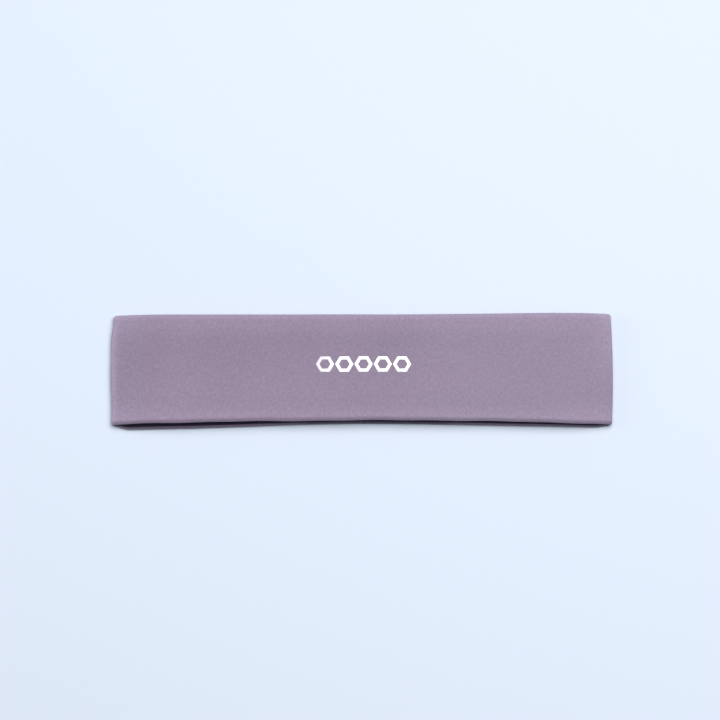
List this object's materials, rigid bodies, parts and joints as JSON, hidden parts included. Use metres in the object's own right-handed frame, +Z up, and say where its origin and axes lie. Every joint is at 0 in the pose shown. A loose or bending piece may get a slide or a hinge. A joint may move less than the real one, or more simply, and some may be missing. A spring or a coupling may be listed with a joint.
{
  "type": "sports headband",
  "caption": "Flat-lying closed loop of double-layer stretch knit with rolled long edges, flat inner seams, a geometric reflective mark and a hinged blank label.",
  "frame": {"origin": "under the middle of the flattened band, on the surface that it lies on", "axes": "+X along the band from end fold to end fold, to the right when the mark on the front panel is seen from above; +Y across the band towards the upper long edge; +Z up, out of the front panel"},
  "size_m": [0.23, 0.0506, 0.0083],
  "materials": {
    "shell_knit": "matte fine stretch knit",
    "lining_knit": "matte brushed knit",
    "seam_thread": "textured polyester thread",
    "reflective_film": "silver-white satin transfer film",
    "label_satin": "satin woven, blank"
  },
  "bodies": {
    "band": {"outer_shell": "shell_knit", "inner_lining": "lining_knit", "upper_lining_seam": "seam_thread", "lower_lining_seam": "seam_thread", "shell_back_seam": "seam_thread", "lining_back_seam": "seam_thread", "reflective_mark": "reflective_film"},
    "label": {"care_label": "label_satin"}
  },
  "joints": [
    {"name": "label_flap", "type": "hinge", "parent": "band", "child": "label", "pos_m": [0.0016, 0, 0.00165], "axis": [0, -1, 0], "range_deg": [0, 10]}
  ]
}
